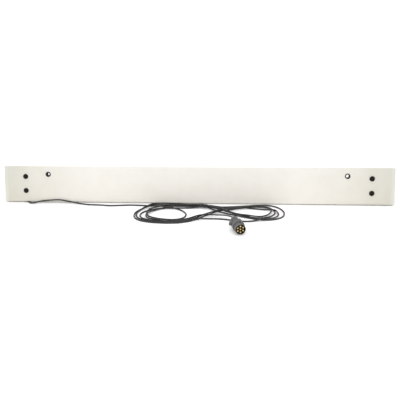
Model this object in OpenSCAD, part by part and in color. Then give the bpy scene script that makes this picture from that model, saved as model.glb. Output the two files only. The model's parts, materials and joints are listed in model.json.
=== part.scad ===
// Trailer lighting board: a long hollow plastic board with a combination lamp bolted on
// behind each end, which stands leaning back on its lamps, and a 7-core lead with a
// 7-pin plug lying in loose figure-eight loops in front of it.
//
// Frame: millimetres, Z up, X along the board. The plain face looks towards -Y and the
// lamps towards +Y. The origin is at the bottom centre of the board and lamps together.
// Board places are given as x along it, y through it from the plain face, and z up it.

/* [Board] */
// Length of the board over its end caps
board_l = 1524; // [1200:1:1900]
// Height of the board, up its own face
board_h = 141; // [115:1:190]
// Thickness of the board
board_t = 18; // [14:0.5:26]
// Wall of the extrusion
board_wall = 2; // [1.5:0.1:3]
// Rounding of the board's long edges
board_edge_r = 2.5; // [1:0.5:4]
// Number of hollow cells up the board
cell_count = 5; // [3:1:8]
// Thickness of the ribs between the cells
rib_t = 1.6; // [1:0.1:3]
// Length of each end cap that shows
cap_l = 13; // [8:1:30]
// Rounding of an end cap's corners
cap_corner_r = 4; // [1:0.5:8]
// Length of the cap's tongues inside the board
tongue_l = 22; // [10:1:40]

/* [Hanging holes] */
// Distance of each hanging hole from the board's middle
hang_x = 584; // [300:1:800]
// Distance of the hanging holes below the board's top edge
hang_drop = 32; // [20:1:60]
// Bore through a hanging hole's grommet
hang_bore_d = 12; // [6:0.5:14]
// Wall of the grommet's barrel in the board
hang_wall = 2; // [1.5:0.1:5]
// How far the grommet's flanges reach past its barrel
hang_lip = 2; // [1.5:0.1:6]
// Thickness of each flange
hang_flange_t = 1.5; // [1:0.1:4]

/* [Lamps] */
// Distance of each lamp's middle from the board's middle
lamp_x = 676; // [400:1:850]
// Height of the lamps' middle above the board's bottom edge
lamp_z = 72; // [68:1:90]
// Width of a lamp
lamp_w = 110; // [90:1:150]
// Height of a lamp
lamp_h = 111; // [100:1:120]
// Rounding of a lamp's corners
lamp_corner_r = 9; // [4:0.5:16]
// Depth of the lamp's base
base_d = 22; // [16:1:30]
// Wall of the lamp's base
base_wall = 2.6; // [2:0.1:4]
// Thickness of the seal under the lens
seal_t = 1.2; // [0.8:0.1:2]
// Width of the seal
seal_w = 4; // [3:0.1:6]
// Depth of the lens
lens_d = 30; // [20:1:40]
// Wall of the lens
lens_wall = 2.4; // [1.8:0.1:4]
// Height of the amber part at the top of the lens
amber_h = 40; // [30:1:50]
// Height of the ribs on the lens face
flute_h = 0.8; // [0.4:0.1:1.5]
// Distance between the ribs on the lens face
flute_pitch = 8; // [5:0.5:12]

/* [Lamp bolts] */
// Distance between a lamp's two bolts
bolt_pitch = 56; // [50:1:70]
// Diameter of a lamp bolt
bolt_d = 5; // [4:0.5:6]
// Diameter of the black cap nut on the plain face
nut_d = 14; // [10:0.5:18]
// Height of the cap nut
nut_h = 5; // [3:0.5:8]
// Diameter of the washer under the cap nut
washer_d = 20; // [16:0.5:26]
// Thickness of the washer
washer_t = 1.6; // [1:0.1:3]
// Wall of the sleeve round the bolt inside the board
sleeve_wall = 1.8; // [1:0.1:3]

/* [Cable] */
// Diameter of the 7-core lead
cord_d = 5.2; // [4:0.1:8]
// Place along the board of the middle of the notch where the lead comes out
notch_x = -673; // [-720:1:-600]
// Width of the notch, which is level with the ground
notch_w = 22; // [16:1:40]
// Gap between the ground and the lead in the notch
notch_gap = 0.8; // [0.2:0.1:2]
// Thickness of the liner in the notch
trim_t = 1.6; // [1:0.1:3]
// Diameter of the cable that links the lamps behind the board
link_d = 5; // [4:0.5:7]
// Height of the link cable above the board's bottom edge
link_z = 30; // [26:1:40]
// Distance between the clips on the link cable
clip_pitch = 240; // [150:10:400]

/* [Plug] */
// Wall of the plug's body round its nose
body_wall = 3; // [2:0.1:5]
// Outside diameter of the plug's nose
nose_d = 37; // [32:0.5:42]
// Length of the nose in front of the body
nose_l = 24; // [15:1:32]
// Wall of the nose
nose_wall = 1.5; // [1:0.1:4]
// Thickness of the black liner in the nose
liner_t = 1.2; // [0.8:0.1:2]
// Length of the liner's rim, which covers the nose's end
rim_l = 2; // [1:0.1:4]
// How deep the contact face sits in the nose
nose_recess = 12; // [6:0.5:16]
// How far the contacts stand out of their face
contact_proud = 9; // [1:0.5:14]
// Length of the body's full round
body_l = 26; // [18:1:40]
// Length of the body's taper towards the cable
taper_l = 14; // [8:1:24]
// Diameter of the body's neck
neck_d = 20; // [16:0.5:24]
// Length of the body's neck
neck_l = 12; // [8:1:16]
// Wall of the gland nut
gland_wall = 2.1; // [1.5:0.1:4]
// Length of the gland nut
gland_l = 20; // [16:1:28]
// Plastic between an outer contact and the nose's wall
contact_inset = 3.15; // [1.5:0.05:5]
// Outside diameter of a contact
contact_d = 5.2; // [4:0.1:6]
// Wall of a contact
contact_wall = 1.7; // [0.6:0.1:2.2]

/* [Part] */
// Gap between pieces that slip over or into each other
slip = 0.2; // [0.1:0.05:0.4]
// Gap all round the turning gland nut
turn_gap = 0.4; // [0.3:0.05:0.6]

/* [Hidden] */
$fn = 64;
ROUND = 96;
cut = 1;

LAMPS = ["left", "right"];
function side(i) = i == 0 ? -1 : 1;

// Lean: the board rests on its rounded lower back edge and the lamps on their lower
// front edge, so both touch the ground.
lamp_d = base_d + seal_t + lens_d;
lamp_foot = lamp_z - lamp_h / 2;
lean_a = lamp_foot - board_edge_r;
lean_b = lamp_d + board_edge_r;
lean = acos(-board_edge_r / norm([lean_a, lean_b])) - atan2(lean_b, lean_a);
lift = board_edge_r + (board_t - board_edge_r) * sin(lean) - board_edge_r * cos(lean);
toe = board_edge_r * (cos(lean) + sin(lean) - 1);
heel = (board_t + lamp_d) * cos(lean) + (lamp_z + lamp_h / 2) * sin(lean);
front = -(toe + heel) / 2;

shell_l = board_l - 2 * cap_l;
inner_h = board_h - 2 * board_wall;
cell_h = (inner_h - (cell_count - 1) * rib_t) / cell_count;
function cell_z(i) = board_wall + i * (cell_h + rib_t);
notch_top = notch_gap + cord_d + slip;

hang_barrel_d = hang_bore_d + 2 * hang_wall;
hang_flange_d = hang_barrel_d + 2 * hang_lip;
sleeve_d = bolt_d + 2 * slip + 2 * sleeve_wall;

reflector_t = 1.6;
screw_d = 4;
screw_head_d = 7.5;
screw_head_h = 2.4;
screw_gap = 0.15;
screw_z = lamp_h / 2 - 16;
screw_start = base_wall + 4;
slot_w = 1;
post_d = 10;
flute_w = 2;
flute_end = 6;
flute_reach = lamp_w / 2 - 11;
holder_d = 19;
holder_h = 9;
holder_wall = 2;
bulb_d = 15;
bulb_neck_d = 10;
bulb_rise = 4;
bulb_sink = 2;
bulb_start = base_d - reflector_t - holder_h + holder_wall;
bolt_head_d = 9;
bolt_head_h = 3;
nut_taper = 2;
dimple_t = 0.8;
amber_mid = lamp_h / 2 - amber_h / 2;
red_mid = -amber_h / 2;
bulb_off = 26;
BULBS = [amber_mid - 1, red_mid + 2];

inlet_d = 13;
inlet_h = 3;
inlet_y = 12;
inlet_taper = 3;
clip_w = 8;
clip_t = 1.6;
clip_tab_l = 14;
clip_hole_d = 3.4;
clip_hole_up = 9;
clip_screw_d = 6;
clip_screw_h = 2;
clip_count = floor((2 * lamp_x - lamp_w - 60) / clip_pitch);

// Plug, along its own axis from the cable end
plug_d = nose_d + 2 * body_wall;
gland_d = neck_d + 2 * turn_gap + 2 * gland_wall;
nose_bore_d = nose_d - 2 * nose_wall;
contact_bore_d = contact_d - 2 * contact_wall;
contact_circle_d = nose_bore_d - contact_d - 2 * contact_inset;
gland_end = 4;
neck_start = gland_l - neck_l + gland_end;
taper_start = neck_start + neck_l;
body_start = taper_start + taper_l;
nose_start = body_start + body_l;
plug_l = nose_start + nose_l;
nose_seat = 8;
rim_bevel = 0.8;
contact_floor = 2;
plug_turn = 17;
plug_nose_at = [182.4, -255.6];
plug_dir = [sin(plug_turn), -cos(plug_turn)];
plug_rear_at = plug_nose_at - plug_l * plug_dir;
rib_turn = 30;
gland_bevel = 2;
gland_rib_w = 2.4;
gland_rib_h = 0.8;
shoulder = 6;
body_step = 3;
cavity_neck_d = neck_d - 8;
grip_inset = 4;
grip_lean = 22;
grip_w = 2;
grip_h = 2.4;
grip_l = 8;
plug_screw_turn = 35;
plug_screw_d = 5;
plug_screw_h = 1.2;
contact_count = 6;
lug_out = 7;
lug_w = 10;
lug_h = 12;
lug_wall = 3;
lug_slot_w = 2.5;
lug_turn = -10;
lug_z = taper_start + 10;
seal_inset = 2;
cord_end = 8;
key_turn = 68;
key_w = 5;
key_out = 3;
key_l = nose_l - 1;

// Lead: from the notch along the board's foot to the loops. Heights are of its middle.
floor_z = cord_d / 2;
exit_x = notch_x + notch_w / 2 - cord_d;
exit_z = notch_gap + cord_d / 2;
exit_y = (exit_z - lift) * tan(lean);
inlet_x = notch_x - notch_w / 2 + cord_d / 2 + slip;
LEAD = [
    [exit_x, exit_y, exit_z],
    [-662, -6.4, 3.2],
    [-654.5, -11.4, floor_z],
    [-644.5, -13.2, floor_z],
    [-634, -10.6, 4.2],
    [-623, -6, 6.8],
    [-608, -3.2, 9.4],
    [-588, -2.2, 11],
    [-562, -1.8, 13],
    [-538, -1.8, 13.4],
    [-516, -3, 10.6],
    [-494, -5, 6.4],
    [-472, -8.4, 3.2],
    [-446, -14, floor_z],
    [-415, -20, floor_z],
    [-375, -22, floor_z],
    [-330, -27, floor_z],
    [-290, -23, floor_z],
    [-250, -20, floor_z],
    [-208, -22, floor_z],
    [-168, -25, floor_z]
];
TAIL = [
    [74, -108, 3.5],
    [92, -113, 4],
    [110, -119, 5.5],
    [128, -129, 9],
    [143, -143.5, 15]
];

// Loops: the middle of the bundle of turns, once round the figure eight
bundle_w = 30;
bundle_h = 14;
LEFT_LOBE = [
    [105, -66], [60, -36], [0, -20], [-80, -18], [-150, -24], [-190, -50], [-203, -92],
    [-186, -132], [-140, -154], [-70, -158], [-10, -146], [50, -108], [105, -66]
];
RIGHT_LOBE = [
    [105, -66], [150, -42], [210, -27], [280, -27], [318, -52], [326, -88],
    [300, -122], [245, -127], [180, -104], [105, -66]
];
stray_w = 12;
STRAY = [[-10, -148], [60, -133], [130, -138], [190, -150], [240, -142], [300, -122]];

// ---- shared shapes ----

module leaning() {
    translate([0, front, lift]) rotate([-lean, 0, 0]) children();
}

module along_x(length) {
    rotate([90, 0, 90]) linear_extrude(length) children();
}

module through_board(y0, y1) {
    translate([0, y1, 0]) rotate([90, 0, 0]) linear_extrude(y1 - y0) children();
}

module rounded(w, h, r) {
    translate([-w / 2 + r, -h / 2]) square([w - 2 * r, h]);
    translate([-w / 2, -h / 2 + r]) square([w, h - 2 * r]);
    for (x = [-1, 1], y = [-1, 1]) {
        translate([x * (w / 2 - r), y * (h / 2 - r)]) circle(r, $fn = ROUND);
    }
}

module board_outline() {
    translate([board_t / 2, board_h / 2]) rounded(board_t, board_h, board_edge_r);
}

module cells(gap) {
    for (i = [0 : cell_count - 1]) {
        translate([board_wall + gap, cell_z(i) + gap])
            square([board_t - 2 * board_wall - 2 * gap, cell_h - 2 * gap]);
    }
}

module on_lamp(i) {
    leaning() translate([side(i) * lamp_x, board_t, lamp_z]) children();
}

module at_bolts(i) {
    leaning() for (s = [-1, 1]) {
        translate([side(i) * lamp_x, 0, lamp_z + s * bolt_pitch / 2]) children();
    }
}

module ring(outer_d, inner_d, y0, y1) {
    through_board(y0, y1) difference() {
        circle(d = outer_d, $fn = ROUND);
        circle(d = inner_d, $fn = ROUND);
    }
}

module disc(d, y0, y1) {
    through_board(y0, y1) circle(d = d, $fn = ROUND);
}

module on_plug() {
    translate([plug_rear_at[0], front + plug_rear_at[1], plug_d / 2])
        rotate([0, 0, plug_turn]) rotate([90, 0, 0]) children();
}

// A tube swept along points, closed at both ends. No stretch of it runs along level.
function unit(v) = v / norm(v);
function heading(p, i) = unit(p[min(i + 1, len(p) - 1)] - p[max(i - 1, 0)]);
function smooth_at(p, i, t) = let(
    a = p[max(i - 1, 0)], b = p[i], c = p[i + 1], d = p[min(i + 2, len(p) - 1)]
) 0.5 * (
    2 * b + (c - a) * t
    + (2 * a - 5 * b + 4 * c - d) * t * t
    + (3 * b - a - 3 * c + d) * t * t * t
);
function smooth_path(p, steps) = concat(
    [for (i = [0 : len(p) - 2], k = [0 : steps - 1]) smooth_at(p, i, k / steps)],
    [p[len(p) - 1]]
);

module swept_tube(path, d, sides, level = [0, 0, 1]) {
    rings = len(path);
    points = [for (i = [0 : rings - 1]) let(
            h = heading(path, i),
            across = unit(cross(h, level)),
            up = cross(across, h)
        ) for (k = [0 : sides - 1])
            path[i] + d / 2 * (cos(k * 360 / sides) * across + sin(k * 360 / sides) * up)];
    sides_faces = [for (i = [0 : rings - 2], k = [0 : sides - 1]) let(
            a = i * sides + k,
            b = i * sides + (k + 1) % sides
        ) [a, a + sides, b + sides, b]];
    ends = [
        [for (k = [0 : sides - 1]) k],
        [for (k = [sides - 1 : -1 : 0]) (rings - 1) * sides + k]
    ];
    polyhedron(points, concat(sides_faces, ends));
}

// ---- board ----

// The notch is level with the ground, not square to the leaning board
module notch(wall) {
    translate([notch_x - notch_w / 2 - wall, front - board_t, -cut])
        cube([notch_w + 2 * wall, 3 * board_t, notch_top + wall + cut]);
}

module board_shell() {
    color("ivory") difference() {
        leaning() difference() {
            translate([-shell_l / 2, 0, 0]) along_x(shell_l) difference() {
                board_outline();
                cells(0);
            }
            for (i = [0, 1]) {
                translate([side(i) * hang_x, 0, board_h - hang_drop])
                    disc(hang_barrel_d, -cut, board_t + cut);
                for (s = [-1, 1]) {
                    translate([side(i) * lamp_x, 0, lamp_z + s * bolt_pitch / 2]) {
                        disc(bolt_d + 2 * slip, -cut, board_t + cut);
                        disc(sleeve_d + 2 * slip, board_wall, board_t - board_wall);
                    }
                }
            }
        }
        notch(trim_t);
    }
}

module end_cap(s) {
    color("gainsboro") leaning() scale([s, 1, 1]) {
        intersection() {
            translate([shell_l / 2, 0, 0]) along_x(cap_l) board_outline();
            through_board(-cut, board_t + cut) translate([board_l / 2 - cap_l, board_h / 2])
                rounded(2 * cap_l, board_h, cap_corner_r);
        }
        translate([shell_l / 2 - tongue_l, 0, 0]) along_x(tongue_l) cells(slip);
    }
}

module notch_trim() {
    color("ivory") difference() {
        intersection() {
            leaning() translate([notch_x - notch_w / 2 - trim_t, 0, 0]) along_x(notch_w + 2 * trim_t)
                board_outline();
            notch(trim_t);
        }
        notch(0);
    }
}

module hang_grommet(i) {
    color("dimgray") leaning() translate([side(i) * hang_x, 0, board_h - hang_drop]) difference() {
        union() {
            disc(hang_barrel_d, 0, board_t);
            disc(hang_flange_d, -hang_flange_t, 0);
            disc(hang_flange_d, board_t, board_t + hang_flange_t);
        }
        disc(hang_bore_d, -hang_flange_t - cut, board_t + hang_flange_t + cut);
    }
}

// ---- lamps ----

module lamp_outline(inset) {
    rounded(lamp_w - 2 * inset, lamp_h - 2 * inset, lamp_corner_r - inset);
}

module at_posts() {
    for (s = [-1, 1]) translate([0, 0, s * screw_z]) children();
}

module lamp_base(i) {
    color("dimgray") on_lamp(i) difference() {
        union() {
            difference() {
                through_board(0, base_d) lamp_outline(0);
                through_board(base_wall, base_d + cut) lamp_outline(base_wall);
            }
            at_posts() disc(post_d, base_wall, base_d - reflector_t);
        }
        at_posts() disc(screw_d + 2 * screw_gap, screw_start, base_d + cut);
        for (s = [-1, 1]) {
            translate([0, 0, s * bolt_pitch / 2]) disc(bolt_d + 2 * slip, -cut, base_wall + cut);
        }
    }
}

module lamp_seal(i) {
    color("black") on_lamp(i) through_board(base_d, base_d + seal_t) difference() {
        lamp_outline(0);
        lamp_outline(seal_w);
    }
}

module lens_half(z0, z1) {
    y0 = base_d + seal_t;
    difference() {
        intersection() {
            union() {
                difference() {
                    through_board(y0, y0 + lens_d) lamp_outline(0);
                    through_board(y0 - cut, y0 + lens_d - lens_wall) lamp_outline(lens_wall);
                }
                at_posts() disc(post_d, base_d, y0 + lens_d - lens_wall);
                for (x = [-flute_reach : flute_pitch : flute_reach]) {
                    if (abs(x) > (screw_head_d + flute_w) / 2) {
                        translate([x - flute_w / 2, y0 + lens_d, -lamp_h / 2 + flute_end])
                            cube([flute_w, flute_h, lamp_h - 2 * flute_end]);
                    }
                }
            }
            translate([-lamp_w, 0, z0]) cube([2 * lamp_w, 2 * lamp_d, z1 - z0]);
        }
        at_posts() {
            disc(screw_d + 2 * screw_gap, 0, lamp_d + cut);
            disc(screw_head_d + 2 * screw_gap, lamp_d - screw_head_h, lamp_d + flute_h + cut);
        }
    }
}

module lens_red(i) {
    color("firebrick") on_lamp(i) lens_half(-lamp_h / 2, lamp_h / 2 - amber_h);
}

module lens_amber(i) {
    color("orange") on_lamp(i) lens_half(lamp_h / 2 - amber_h, lamp_h / 2);
}

module lens_screws(i) {
    color("silver") on_lamp(i) at_posts() difference() {
        union() {
            disc(screw_head_d, lamp_d - screw_head_h, lamp_d);
            disc(screw_d, screw_start, lamp_d - screw_head_h);
        }
        translate([-screw_head_d, lamp_d - slot_w, -slot_w / 2])
            cube([2 * screw_head_d, 2 * slot_w, slot_w]);
    }
}

module at_bulbs() {
    for (z = BULBS) translate([bulb_off * (z > 0 ? 1 : -1), 0, z]) children();
}

module reflector(i) {
    color("silver") on_lamp(i) difference() {
        through_board(base_d - reflector_t, base_d) lamp_outline(base_wall + slip);
        at_posts() disc(post_d + 2 * slip, 0, lamp_d);
        at_bulbs() disc(holder_d - 2 * holder_wall + 2 * slip, 0, lamp_d);
    }
}

module bulb_holders(i) {
    top = base_d - reflector_t;
    color("dimgray") on_lamp(i) at_bulbs() difference() {
        disc(holder_d, top - holder_h, top);
        disc(bulb_neck_d + 2 * slip, bulb_start, top + cut);
    }
}

module bulbs(i) {
    color("lightyellow") on_lamp(i) at_bulbs() {
        disc(bulb_neck_d, bulb_start, base_d + bulb_rise);
        translate([0, base_d + bulb_rise + bulb_d / 2 - bulb_sink, 0]) sphere(d = bulb_d);
    }
}

module lamp_bolts(i) {
    color("silver") at_bolts(i) {
        disc(bolt_d, -washer_t - nut_h / 2, board_t + base_wall);
        disc(bolt_head_d, board_t + base_wall, board_t + base_wall + bolt_head_h);
    }
}

module bolt_sleeves(i) {
    color("silver") at_bolts(i) ring(sleeve_d, bolt_d + 2 * slip, board_wall, board_t - board_wall);
}

module bolt_washers(i) {
    color("black") at_bolts(i) ring(washer_d, bolt_d + 2 * slip, -washer_t, 0);
}

module cap_nuts(i) {
    color("black") at_bolts(i) difference() {
        translate([0, -washer_t, 0]) rotate([90, 0, 0])
            cylinder(d1 = nut_d, d2 = nut_d - nut_taper, h = nut_h);
        disc(bolt_d, -washer_t - nut_h / 2, 0);
        disc(nut_d / 2, -washer_t - nut_h - cut, -washer_t - nut_h + dimple_t);
    }
}

// ---- wiring behind the board ----

module link_cable() {
    run = 2 * lamp_x - lamp_w;
    color("black") leaning() translate([-run / 2, board_t + link_d / 2, link_z]) rotate([0, 90, 0])
        cylinder(d = link_d, h = run);
}

module at_clips() {
    for (i = [0 : clip_count]) {
        translate([(i - clip_count / 2) * clip_pitch, board_t, link_z]) children();
    }
}

module cable_clips() {
    color("black") leaning() at_clips() difference() {
        union() {
            translate([-clip_w / 2, 0, -link_d / 2 - clip_t - slip])
                cube([clip_w, link_d + clip_t + slip, link_d + 2 * clip_t + 2 * slip]);
            translate([-clip_w / 2, 0, link_d / 2]) cube([clip_w, clip_t, clip_tab_l]);
        }
        translate([-clip_w, -cut, -link_d / 2 - slip])
            cube([2 * clip_w, link_d + slip + cut, link_d + 2 * slip]);
        translate([0, 0, link_d / 2 + clip_hole_up]) disc(clip_hole_d, -cut, clip_t + cut);
    }
}

module clip_screws() {
    color("silver") leaning() at_clips() translate([0, 0, link_d / 2 + clip_hole_up])
        disc(clip_screw_d, clip_t, clip_t + clip_screw_h);
}

// Up the board's face at a depth through it, for a line level with the ground
function level_at(y) = (exit_z - lift + y * sin(lean)) / cos(lean);

module lead_stub() {
    stub = [
        [exit_x, 0, level_at(0)],
        [(exit_x + inlet_x) / 2, board_t / 2, level_at(board_t / 2)],
        [inlet_x, board_t, level_at(board_t)],
        [inlet_x, board_t + inlet_y - 4, lamp_foot / 2],
        [inlet_x, board_t + inlet_y, lamp_foot - inlet_h],
        [inlet_x, board_t + inlet_y, lamp_foot - inlet_h / 2],
        [inlet_x, board_t + inlet_y, lamp_foot - slip]
    ];
    color("black") leaning() swept_tube(smooth_path(stub, 4), cord_d, 12, [1, 0, 0]);
}

module lead_inlet() {
    color("black") leaning() translate([inlet_x, board_t + inlet_y, lamp_foot - inlet_h]) difference() {
        cylinder(d1 = inlet_d - inlet_taper, d2 = inlet_d, h = inlet_h);
        translate([0, 0, -cut]) cylinder(d = cord_d + 2 * slip, h = inlet_h + 2 * cut);
    }
}

// ---- plug ----

module turned(d0, d1, z0, z1) {
    translate([0, 0, z0]) cylinder(d1 = d0, d2 = d1, h = z1 - z0, $fn = ROUND);
}

module body_round() {
    turned(neck_d + shoulder, plug_d - body_step, taper_start, body_start);
    turned(plug_d - body_step, plug_d, body_start, body_start + body_step);
    turned(plug_d, plug_d, body_start + body_step, nose_start);
}

module body_grips() {
    for (a = [0 : rib_turn : 360 - rib_turn]) rotate([0, 0, a + rib_turn / 2])
        translate([plug_d / 2 - grip_inset, -grip_w / 2, taper_start + grip_inset])
            rotate([0, -grip_lean, 0]) cube([grip_h, grip_w, grip_l]);
}

module plug_body() {
    cavity_d = nose_d - 2 * body_wall;
    color("dimgray") on_plug() difference() {
        union() {
            turned(neck_d, neck_d, neck_start, taper_start);
            body_round();
            body_grips();
        }
        turned(cord_d + 2 * slip, cord_d + 2 * slip, neck_start - cut, taper_start + cut);
        turned(cavity_neck_d, cavity_d, taper_start, body_start);
        turned(cavity_d, cavity_d, body_start, nose_start - nose_seat);
        turned(nose_d + 2 * slip, nose_d + 2 * slip, nose_start - nose_seat, nose_start + cut);
    }
}

module plug_nose() {
    color("dimgray") on_plug() difference() {
        turned(nose_d, nose_d, nose_start - nose_seat, plug_l - rim_l);
        turned(nose_bore_d, nose_bore_d, nose_start - nose_seat - cut, plug_l + cut);
    }
}

module plug_key() {
    color("dimgray") on_plug() rotate([0, 0, key_turn]) difference() {
        translate([0, -key_w / 2, nose_start]) cube([nose_d / 2 + key_out, key_w, key_l]);
        turned(nose_d, nose_d, nose_start - cut, plug_l + cut);
    }
}

module plug_lug() {
    color("dimgray") on_plug() difference() {
        rotate([0, 0, lug_turn]) translate([-plug_d / 2 - lug_out, -lug_h / 2, lug_z]) difference() {
            cube([plug_d / 2 + lug_out, lug_h, lug_w]);
            translate([lug_wall, -cut, lug_wall])
                cube([lug_slot_w, lug_h + 2 * cut, lug_w - 2 * lug_wall]);
        }
        body_round();
        body_grips();
        turned(nose_d, nose_d, neck_start, body_start);
    }
}

module plug_screws() {
    color("silver") on_plug() for (s = [-1, 1]) rotate([0, 0, plug_screw_turn * s - 90])
        translate([plug_d / 2, 0, body_start + body_l / 2]) rotate([0, 90, 0])
            cylinder(d = plug_screw_d, h = plug_screw_h);
}

module at_contacts() {
    for (i = [1 : contact_count]) rotate([0, 0, (i - 0.5) * 360 / contact_count])
        translate([contact_circle_d / 2, 0, 0]) children();
}

module contact_carrier() {
    color("black") on_plug() difference() {
        turned(nose_bore_d, nose_bore_d, nose_start - nose_seat, plug_l - nose_recess);
        at_contacts() turned(contact_d, contact_d, nose_start - nose_seat - cut, plug_l + cut);
        turned(contact_d, contact_d, nose_start - nose_seat - cut, plug_l + cut);
    }
}

module contact() {
    difference() {
        turned(contact_d, contact_d, nose_start - nose_seat, plug_l - nose_recess + contact_proud);
        turned(contact_bore_d, contact_bore_d, nose_start + contact_floor, plug_l + cut);
    }
}

module nose_liner() {
    color("black") on_plug() difference() {
        union() {
            turned(nose_bore_d, nose_bore_d, plug_l - nose_recess, plug_l - rim_l);
            turned(nose_d, nose_d, plug_l - rim_l, plug_l - rim_bevel);
            turned(nose_d, nose_d - 2 * rim_bevel, plug_l - rim_bevel, plug_l);
        }
        turned(nose_bore_d - 2 * liner_t, nose_bore_d - 2 * liner_t, nose_start, plug_l + cut);
    }
}

module outer_contacts() {
    color("goldenrod") on_plug() at_contacts() contact();
}

module centre_contact() {
    color("goldenrod") on_plug() contact();
}

module gland_nut() {
    gland_bore_d = cord_d + 2 * turn_gap;
    color("dimgray") on_plug() difference() {
        union() {
            turned(gland_d - gland_bevel, gland_d, 0, gland_bevel);
            turned(gland_d, gland_d, gland_bevel, gland_l - turn_gap);
            for (a = [0 : rib_turn : 360 - rib_turn]) rotate([0, 0, a])
                translate([gland_d / 2 - 1, -gland_rib_w / 2, gland_end - 1])
                    cube([1 + gland_rib_h, gland_rib_w, gland_l - gland_end - 1]);
        }
        turned(gland_bore_d, gland_bore_d, -cut, gland_end + cut);
        turned(neck_d + 2 * turn_gap, neck_d + 2 * turn_gap, gland_end, gland_l + cut);
    }
}

module gland_seal() {
    seal_end = gland_end + 1;
    color("black") on_plug() difference() {
        turned(neck_d - 2 * seal_inset, neck_d - 2 * seal_inset, seal_end + turn_gap, neck_start);
        turned(cord_d, cord_d, seal_end, cord_end);
    }
}

// ---- lead ----

function lifted(p) = [for (q = p) [q[0], front + q[1], q[2]]];
function plug_axis(z) = [
    plug_rear_at[0] + z * plug_dir[0],
    plug_rear_at[1] + z * plug_dir[1],
    plug_d / 2
];

module cord_lead() {
    color("black") swept_tube(smooth_path(lifted(LEAD), 3), cord_d, 10);
}

module cord_tail() {
    route = concat(TAIL, [plug_axis(-14), plug_axis(-4), plug_axis(cord_end)]);
    color("black") swept_tube(smooth_path(lifted(route), 4), cord_d, 10);
}

module band(points, width) {
    for (i = [0 : len(points) - 2]) hull() {
        translate(points[i]) circle(d = width, $fn = 24);
        translate(points[i + 1]) circle(d = width, $fn = 24);
    }
}

module cord_loops() {
    color("black") translate([0, front, 0]) {
        linear_extrude(bundle_h) {
            band(LEFT_LOBE, bundle_w);
            band(RIGHT_LOBE, bundle_w);
        }
        linear_extrude(cord_d) band(STRAY, stray_w);
    }
}

board_shell();
end_cap(-1);  // end_cap_left
end_cap(1);  // end_cap_right
notch_trim();
for (i = [0, 1]) {
    hang_grommet(i);
    lamp_base(i);
    lamp_seal(i);
    lens_red(i);
    lens_amber(i);
    lens_screws(i);
    reflector(i);
    bulb_holders(i);
    bulbs(i);
    lamp_bolts(i);
    bolt_sleeves(i);
    bolt_washers(i);
    cap_nuts(i);
}
link_cable();
cable_clips();
clip_screws();
lead_stub();
lead_inlet();
plug_body();
plug_nose();
nose_liner();
plug_key();
plug_lug();
plug_screws();
contact_carrier();
outer_contacts();
centre_contact();
gland_nut();
gland_seal();
cord_lead();
cord_loops();
cord_tail();
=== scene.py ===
"""Trailer lighting board: looks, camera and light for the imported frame. Lengths are in metres."""
import json
import math

import bpy
import numpy as np
from mathutils import Matrix, Vector


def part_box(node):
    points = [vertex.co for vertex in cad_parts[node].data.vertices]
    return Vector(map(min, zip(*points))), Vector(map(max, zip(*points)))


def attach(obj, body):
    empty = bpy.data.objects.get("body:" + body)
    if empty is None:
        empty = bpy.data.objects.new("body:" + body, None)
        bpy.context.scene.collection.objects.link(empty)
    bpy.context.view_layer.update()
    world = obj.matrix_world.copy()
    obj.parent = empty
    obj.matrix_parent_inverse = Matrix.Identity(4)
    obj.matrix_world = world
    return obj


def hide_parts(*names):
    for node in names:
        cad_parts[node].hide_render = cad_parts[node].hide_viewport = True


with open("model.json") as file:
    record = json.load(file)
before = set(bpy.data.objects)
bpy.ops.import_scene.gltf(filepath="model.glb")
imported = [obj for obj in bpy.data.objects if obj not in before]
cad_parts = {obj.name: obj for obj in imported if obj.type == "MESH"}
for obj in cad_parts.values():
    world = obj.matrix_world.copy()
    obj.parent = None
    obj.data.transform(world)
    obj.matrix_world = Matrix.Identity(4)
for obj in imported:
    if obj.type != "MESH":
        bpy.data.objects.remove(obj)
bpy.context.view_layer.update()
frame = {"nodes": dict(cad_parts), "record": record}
nodes = frame["nodes"]
BODY = "board"
MM = 0.001

# ---- camera ----

CAMERA_TURN = 5.04  # degrees to the right of straight on
CAMERA_RISE = 24.36  # degrees above the floor
CAMERA_ROLL = -1.52
CAMERA_FAR = 2.3395
CAMERA_AIM = Vector((0.0199, -0.0526, 0.0179))
CAMERA_LENS = 54
CAMERA_SENSOR = 36


def make_camera():
    turn, rise, roll = (math.radians(a) for a in (CAMERA_TURN, CAMERA_RISE, CAMERA_ROLL))
    ahead = Vector(
        (-math.sin(turn) * math.cos(rise), math.cos(turn) * math.cos(rise), -math.sin(rise))
    )
    right = Vector((math.cos(turn), math.sin(turn), 0))
    up = right.cross(ahead)
    across = math.cos(roll) * right + math.sin(roll) * up
    above = math.cos(roll) * up - math.sin(roll) * right
    data = bpy.data.cameras.new("camera")
    data.lens = CAMERA_LENS
    data.sensor_width = CAMERA_SENSOR
    camera = bpy.data.objects.new("camera", data)
    turned = Matrix((across, above, -ahead)).transposed().to_4x4()
    camera.matrix_world = Matrix.Translation(CAMERA_AIM - ahead * CAMERA_FAR) @ turned
    bpy.context.scene.collection.objects.link(camera)
    bpy.context.scene.camera = camera


make_camera()


# ---- the lead ----
# Points are x, y and height of its middle in millimetres, y from the board's foot.

CORD_D = 5.2
CORD_SIDES = 14
CORD_STEP = 4.0
CURVE_STEP = 3.0
FOOT_Y = -52.637
LEAD = [
    (-667.2, -0.34, 3.4), (-662, -6.4, 3.2), (-654.5, -11.4, 2.6), (-644.5, -13.2, 2.6),
    (-634, -10.6, 4.2), (-623, -6, 6.8), (-608, -3.2, 9.4), (-588, -2.2, 11),
    (-562, -1.8, 13), (-538, -1.8, 13.4), (-516, -3, 10.6), (-494, -5, 6.4),
    (-472, -8.4, 3.2), (-446, -14, 2.6), (-415, -20, 2.6), (-375, -22, 2.6),
    (-330, -27, 2.6), (-290, -23, 2.6), (-250, -20, 2.6), (-208, -22, 2.6),
    (-168, -25, 2.6),
]
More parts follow.
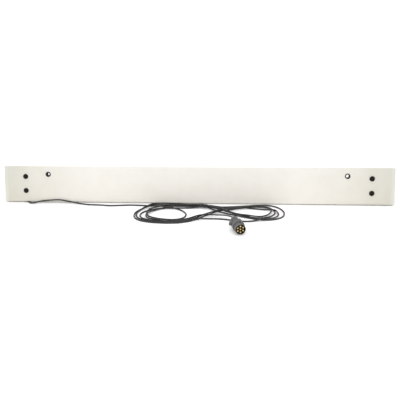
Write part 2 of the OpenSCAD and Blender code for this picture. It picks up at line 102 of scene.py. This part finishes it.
# Each run of the figure eight, in the order the lead was laid down
RUNS = [
    # along the top to the far right
    [(-110, -26), (-50, -26), (0, -27), (50, -29), (100, -30), (150, -26), (200, -18), (245, -12),
     (282, -12), (312, -23), (333, -47), (342, -76), (337, -105), (315, -127), (280, -137)],
    # over the middle to the far left
    [(245, -134), (210, -122), (175, -108), (135, -91), (100, -72), (70, -50), (35, -30), (-10, -19),
     (-60, -14), (-110, -14), (-155, -24), (-192, -45), (-215, -74), (-222, -104), (-213, -135),
     (-185, -157), (-145, -168), (-95, -172), (-50, -169)],
    # up the middle to the right
    [(-10, -156), (22, -134), (50, -105), (85, -80), (125, -60), (165, -42), (205, -29), (245, -23),
     (280, -31), (303, -52), (308, -78), (296, -102), (268, -119)],
    # back to the left, one turn in
    [(228, -121), (188, -109), (148, -92), (110, -71), (75, -47), (40, -27), (0, -14), (-50, -10),
     (-105, -10), (-148, -20), (-185, -43), (-208, -73), (-214, -104), (-202, -133), (-170, -152),
     (-125, -161), (-75, -164), (-30, -157)],
    # along the front, behind the plug, to the right
    [(15, -141), (60, -133), (108, -134), (147, -142), (186, -150), (220, -149), (252, -142),
     (282, -133), (306, -119), (319, -98), (317, -74), (300, -57), (268, -49), (225, -42)],
    # back along the top
    [(180, -37), (125, -37), (70, -38), (20, -40), (-30, -42), (-80, -43), (-125, -47), (-163, -60),
     (-190, -82), (-199, -108), (-187, -133), (-153, -149), (-110, -155), (-65, -156), (-25, -148)],
    # up the middle again to the right
    [(10, -127), (42, -101), (80, -84), (120, -68), (160, -51), (205, -37), (243, -29), (272, -34),
     (290, -51), (293, -75), (280, -97), (254, -112)],
    # back to the left, innermost
    [(224, -116), (189, -112), (152, -99), (115, -81), (80, -59), (45, -39), (0, -27), (-50, -22),
     (-100, -25), (-140, -38), (-167, -60), (-176, -88), (-167, -114), (-138, -131), (-105, -140),
     (-72, -143)],
    # the small inner loop
    [(-45, -136), (-28, -118), (-27, -94), (-42, -69), (-70, -51), (-103, -46), (-135, -58),
     (-162, -83), (-175, -112), (-167, -138), (-138, -152), (-98, -153), (-55, -148), (-15, -135),
     (20, -118), (48, -107)],
]
TAIL = [(74, -108, 3.5), (92, -113, 4), (110, -119, 5.5), (128, -129, 9), (143, -143.5, 15)]
PLUG_NOSE = Vector((182.4, -255.6))
PLUG_TURN = math.radians(17)
PLUG_LENGTH = 88.0
PLUG_MID = 21.5
CORD_END = 8  # where the cord stops inside the plug, from the plug's rear
PLUG_DIR = Vector((math.sin(PLUG_TURN), -math.cos(PLUG_TURN)))


def on_plug_axis(along):
    place = PLUG_NOSE + PLUG_DIR * (along - PLUG_LENGTH)
    return (place.x, place.y, PLUG_MID)


def curved(points, step):
    """A smooth line through the points, with samples about step apart."""
    p = np.array(points, float)
    p = np.vstack([2 * p[0] - p[1], p, 2 * p[-1] - p[-2]])
    made = []
    for a, b, c, d in zip(p, p[1:], p[2:], p[3:]):
        for t in np.linspace(0, 1, max(1, round(np.linalg.norm(c - b) / step)), endpoint=False):
            bent = (2 * a - 5 * b + 4 * c - d) * t**2 + (3 * b - a - 3 * c + d) * t**3
            made.append(0.5 * (2 * b + (c - a) * t + bent))
    return np.array(made + [p[-2]])


def evenly(line, step):
    along = np.r_[0, np.cumsum(np.linalg.norm(np.diff(line, axis=0), axis=1))]
    at = np.linspace(0, along[-1], round(along[-1] / step) + 1)
    return np.stack([np.interp(at, along, line[:, k]) for k in range(3)], axis=1)


def smoothed(values, reach):
    weights = np.hanning(2 * reach + 3)[1:-1]
    return np.convolve(np.pad(values, reach, mode="edge"), weights / weights.sum(), mode="valid")


def laid(line, step, gap=5.5, slope=0.16, rounds=14, passes=5, reach=5):
    """Lifts each run over the runs that were laid before it, in long low humps."""
    count = len(line)
    low = np.maximum(line[:, 2], CORD_D / 2)
    apart = np.linalg.norm(line[:, None, :2] - line[None, :, :2], axis=2)
    order = np.arange(count)[:, None] - np.arange(count)[None]
    later, earlier = np.nonzero((apart < gap) & (order * step > 5 * CORD_D))
    over = np.sqrt(gap**2 - apart[later, earlier] ** 2)
    height = low.copy()
    for _ in range(rounds):
        needed = low.copy()
        np.maximum.at(needed, later, height[earlier] + over)
        hump = needed.copy()
        for i in range(1, count):
            hump[i] = max(hump[i], hump[i - 1] - slope * step)
        for i in range(count - 2, -1, -1):
            hump[i] = max(hump[i], hump[i + 1] - slope * step)
        for _ in range(passes):
            hump = smoothed(np.maximum(hump, needed), reach)
        height = np.maximum(hump, needed)
    return np.c_[line[:, :2], smoothed(height, 1)]


def tube(line, radius, sides):
    """Rings round a line, each square to it, joined into a closed tube."""
    ahead = np.gradient(line, axis=0)
    ahead /= np.linalg.norm(ahead, axis=1)[:, None]
    across = np.cross(ahead, (0, 0, 1))
    across /= np.linalg.norm(across, axis=1)[:, None]
    above = np.cross(across, ahead)
    turn = np.linspace(0, 2 * math.pi, sides, endpoint=False)[None, :, None]
    rings = line[:, None] + radius * (np.cos(turn) * across[:, None] + np.sin(turn) * above[:, None])
    last = (len(line) - 1) * sides
    faces = []
    for start in range(0, last, sides):
        for k in range(sides):
            a, b = start + k, start + (k + 1) % sides
            faces.append((a, b, b + sides, a + sides))
    ends = [tuple(range(sides))[::-1], tuple(range(last, last + sides))]
    return rings.reshape(-1, 3), faces + ends


def add_mesh(name, points, faces):
    mesh = bpy.data.meshes.new(name)
    mesh.from_pydata([tuple(p) for p in points], [], faces)
    mesh.validate()
    for face in mesh.polygons:
        face.use_smooth = len(face.vertices) == 4
    piece = bpy.data.objects.new(name, mesh)
    bpy.context.scene.collection.objects.link(piece)
    return piece


def cord_line():
    flat = [(x, y, CORD_D / 2) for run in RUNS for x, y in run]
    points = LEAD + flat + TAIL + [on_plug_axis(along) for along in (-14, -4, CORD_END)]
    line = laid(evenly(curved(points, CURVE_STEP), CORD_STEP), CORD_STEP)
    line[:, 1] += FOOT_Y
    return line * MM


lead_line = cord_line()
lead = add_mesh("lead", *tube(lead_line, CORD_D / 2 * MM, CORD_SIDES))
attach(lead, BODY)
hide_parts("cord_lead", "cord_loops", "cord_tail")


# ---- materials ----

def principled(name, colour, roughness, **sockets):
    material = bpy.data.materials.new(name)
    material.use_nodes = True
    shader = material.node_tree.nodes["Principled BSDF"]
    shader.inputs["Base Color"].default_value = (*colour, 1)
    shader.inputs["Roughness"].default_value = roughness
    for key, value in sockets.items():
        shader.inputs[key.replace("_", " ")].default_value = value
    return material, material.node_tree, shader


def place(tree):
    """Where a point is on the object, in metres."""
    return tree.nodes.new("ShaderNodeTexCoord").outputs["Object"]


def noise(tree, scale, detail=4, stretch=(1, 1, 1)):
    mapping = tree.nodes.new("ShaderNodeMapping")
    mapping.inputs["Scale"].default_value = stretch
    tree.links.new(place(tree), mapping.inputs["Vector"])
    texture = tree.nodes.new("ShaderNodeTexNoise")
    texture.inputs["Scale"].default_value = scale
    texture.inputs["Detail"].default_value = detail
    tree.links.new(mapping.outputs["Vector"], texture.inputs["Vector"])
    return texture.outputs["Fac"]


def ramp(tree, source, *stops):
    """Colours, or plain numbers, between places from 0 to 1 of what comes in."""
    node = tree.nodes.new("ShaderNodeValToRGB")
    elements = node.color_ramp.elements
    while len(elements) < len(stops):
        elements.new(0.5)
    for element, (at, value) in zip(elements, stops):
        element.position = at
        element.color = (*value, 1) if isinstance(value, tuple) else (value, value, value, 1)
    tree.links.new(source, node.inputs["Fac"])
    return node.outputs["Color"]


def maths(tree, operation, a, b=0.0):
    node = tree.nodes.new("ShaderNodeMath")
    node.operation = operation
    for socket, value in zip(node.inputs, (a, b)):
        if isinstance(value, float):
            socket.default_value = value
        else:
            tree.links.new(value, socket)
    return node.outputs["Value"]


def mixed(tree, blend, factor, a, b):
    node = tree.nodes.new("ShaderNodeMix")
    node.data_type = "RGBA"
    node.blend_type = blend
    node.inputs["Factor"].default_value = factor
    tree.links.new(a, node.inputs["A"])
    tree.links.new(b, node.inputs["B"])
    return node.outputs["Result"]


def bump(tree, shader, source, distance, strength=1.0):
    node = tree.nodes.new("ShaderNodeBump")
    node.inputs["Distance"].default_value = distance
    node.inputs["Strength"].default_value = strength
    tree.links.new(source, node.inputs["Height"])
    tree.links.new(node.outputs["Normal"], shader.inputs["Normal"])


def plastic(name, dark, light, roughness, grain=900, depth=0.00003, shine=0.5):
    """Moulded plastic: a slow change of tone, a fine grain and uneven gloss."""
    material, tree, shader = principled(name, light, roughness, Specular_IOR_Level=shine)
    tone = ramp(tree, noise(tree, 14, 5), (0.35, dark), (0.65, light))
    tree.links.new(tone, shader.inputs["Base Color"])
    gloss = ramp(tree, noise(tree, 60, 3), (0.3, roughness - 0.06), (0.7, roughness + 0.08))
    tree.links.new(gloss, shader.inputs["Roughness"])
    bump(tree, shader, noise(tree, grain, 2), depth)
    return material


BOARD_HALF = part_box("board_shell")[1].x
# The first tone is the board's own ivory; the two darker ones are painted shade towards its ends.
IVORY_TONE = (0.735, 0.715, 0.672)
IVORY_HALF_PAINTED_SHADE = (0.655, 0.634, 0.580)
IVORY_END_PAINTED_SHADE = (0.575, 0.560, 0.497)


def board_plastic():
    """Extruded ivory plastic, darker and a little yellower towards the ends as painted shade where
    the light falls off, with faint drawing lines and scuffs.
    """
    material, tree, shader = principled("ivory board", IVORY_TONE, 0.4)
    split = tree.nodes.new("ShaderNodeSeparateXYZ")
    tree.links.new(place(tree), split.inputs["Vector"])
    along = maths(tree, "MULTIPLY", maths(tree, "ABSOLUTE", split.outputs["X"]), 1 / BOARD_HALF)
    wander = maths(tree, "MULTIPLY", maths(tree, "SUBTRACT", noise(tree, 5, 3), 0.5), 0.08)
    # Painted shade: the face darkens towards both ends, with a little random wander in where it
    # starts.
    ends_painted_shade = ramp(
        tree, maths(tree, "ADD", along, wander),
        (0.0, IVORY_TONE), (0.55, IVORY_TONE), (0.83, IVORY_HALF_PAINTED_SHADE), (0.98, IVORY_END_PAINTED_SHADE), (1.0, IVORY_END_PAINTED_SHADE),
    )
    # Painted shade: the face is a little darker and yellower towards its foot.
    height = ramp(tree, split.outputs["Z"], (0.0, (0.985, 0.975, 0.955)), (0.14, (1.0, 1.0, 1.0)))
    specks = ramp(tree, noise(tree, 22, 6), (0.36, (0.975, 0.972, 0.962)), (0.6, (1.0, 1.0, 1.0)))
    toned = mixed(tree, "MULTIPLY", 1.0, mixed(tree, "MULTIPLY", 1.0, ends_painted_shade, height), specks)
    tree.links.new(toned, shader.inputs["Base Color"])
    gloss = ramp(tree, noise(tree, 30, 5, (0.3, 1, 1)), (0.35, 0.34), (0.7, 0.52))
    tree.links.new(gloss, shader.inputs["Roughness"])
    bump(tree, shader, noise(tree, 420, 3, (0.015, 1, 1)), 0.00005)
    return material


IVORY = board_plastic()
CAP = plastic("cap plastic", (0.570, 0.568, 0.508), (0.600, 0.596, 0.530), 0.5)
# Black plastic, made darker than its own tone as painted shade, so that the plug's deep recess reads
# black.
BLACK_WITH_RECESS_SHADE = plastic("black plastic with painted recess shade", (0.005, 0.004, 0.003), (0.010, 0.009, 0.006), 0.45, shine=0.16)
PLUG = plastic("plug plastic", (0.080, 0.080, 0.078), (0.130, 0.130, 0.126), 0.55, 1200, 0.00005, 0.4)
RUBBER = plastic("rubber", (0.008, 0.007, 0.006), (0.015, 0.014, 0.012), 0.62, shine=0.25)
CORD = plastic("lead sheath", (0.015, 0.015, 0.014), (0.026, 0.026, 0.024), 0.42, 1500, 0.00002, 0.4)


def lens(name, dark, light):
    """Clear coloured plastic over a field of small square prisms, with painted shade in the creases
    between them.
    """
    material, tree, shader = principled(name, light, 0.14, Coat_Weight=0.6, Coat_Roughness=0.06)
    prisms = tree.nodes.new("ShaderNodeTexVoronoi")
    prisms.distance = "CHEBYCHEV"
    prisms.inputs["Scale"].default_value = 420
    prisms.inputs["Randomness"].default_value = 0
    tree.links.new(place(tree), prisms.inputs["Vector"])
    # Painted shade: each prism is darker towards its edges and lighter at its middle.
    crease_painted_shade = ramp(tree, prisms.outputs["Distance"], (0.1, light), (0.5, dark))
    depth = ramp(tree, noise(tree, 18, 3), (0.3, (0.82, 0.82, 0.82)), (0.7, (1.0, 1.0, 1.0)))
    tree.links.new(mixed(tree, "MULTIPLY", 1.0, crease_painted_shade, depth), shader.inputs["Base Color"])
    bump(tree, shader, prisms.outputs["Distance"], 0.00008)
    return material


RED = lens("red lens", (0.32, 0.003, 0.003), (0.50, 0.010, 0.008))
AMBER = lens("amber lens", (0.68, 0.17, 0.006), (0.86, 0.27, 0.015))


def metal(name, colour, roughness, grain):
    material, tree, shader = principled(name, colour, roughness, Metallic=1.0)
    tarnish = tuple(0.8 * c for c in colour)
    tone = ramp(tree, noise(tree, grain / 2, 4), (0.35, tarnish), (0.6, colour))
    tree.links.new(tone, shader.inputs["Base Color"])
    gloss = ramp(
        tree, noise(tree, grain, 4, (1, 1, 6)), (0.3, roughness - 0.08), (0.7, roughness + 0.12)
    )
    tree.links.new(gloss, shader.inputs["Roughness"])
    bump(tree, shader, noise(tree, grain * 3, 2), 0.00002)
    return material


STEEL = metal("zinc steel", (0.62, 0.62, 0.60), 0.34, 200)
CHROME = metal("bright metal", (0.86, 0.86, 0.87), 0.14, 120)
BRASS = metal("brass", (0.86, 0.64, 0.30), 0.24, 300)


def glass():
    material, tree, shader = principled("bulb glass", (0.96, 0.96, 0.92), 0.08)
    shader.inputs["Transmission Weight"].default_value = 0.8
    bump(tree, shader, noise(tree, 90, 2), 0.00001)
    return material


GLASS = glass()

LOOKS = {
    "ivory_pvc": IVORY, "cap_grey": CAP, "black_plastic": BLACK_WITH_RECESS_SHADE, "plug_grey": PLUG,
    "black_rubber": RUBBER, "cord_black": CORD, "lens_red": RED, "lens_amber": AMBER,
    "zinc_steel": STEEL, "bright_metal": CHROME, "bulb_glass": GLASS, "brass": BRASS,
}

for entry in frame["record"]["subparts"]:
    mesh = nodes[entry["node"]].data
    mesh.materials.clear()
    mesh.materials.append(LOOKS[entry["material_slot"]])
lead.data.materials.append(CORD)


# ---- floor and light ----

FLOOR_REACH = 12
FLOOR_GAP = 0.0004  # keeps the floor's face apart from the faces that stand on it


def make_floor():
    mesh = bpy.data.meshes.new("floor")
    corners = [(x * FLOOR_REACH, y * FLOOR_REACH, 0) for x, y in ((-1, -1), (1, -1), (1, 1), (-1, 1))]
    mesh.from_pydata(corners, [], [(0, 1, 2, 3)])
    floor = bpy.data.objects.new("floor", mesh)
    floor.location.z = -FLOOR_GAP
    bpy.context.scene.collection.objects.link(floor)
    material, tree, shader = principled("floor", (0.95, 0.95, 0.95), 0.9)
    tone = ramp(tree, noise(tree, 0.6), (0.3, 0.955), (0.7, 0.97))
    tree.links.new(tone, shader.inputs["Base Color"])
    mesh.materials.append(material)


def make_light(name, at, aim, size, power):
    data = bpy.data.lights.new(name, "AREA")
    data.shape = "RECTANGLE"
    data.size, data.size_y = size
    data.energy = power
    light = bpy.data.objects.new(name, data)
    light.location = at
    light.rotation_mode = "QUATERNION"
    light.rotation_quaternion = (Vector(aim) - Vector(at)).to_track_quat("-Z", "Y")
    bpy.context.scene.collection.objects.link(light)


def make_world():
    world = bpy.data.worlds.new("studio")
    world.use_nodes = True
    world.node_tree.nodes["Background"].inputs["Color"].default_value = (1, 1, 1, 1)
    world.node_tree.nodes["Background"].inputs["Strength"].default_value = 1.2
    bpy.context.scene.world = world
    bpy.context.scene.view_settings.view_transform = "Standard"


make_floor()
make_world()
make_light("key", (-0.6, -2.2, 2.2), (0, 0, 0.05), (2.2, 1.4), 8)
make_light("top", (0.3, 0.4, 2.6), (0, 0, 0), (3.0, 2.0), 10)
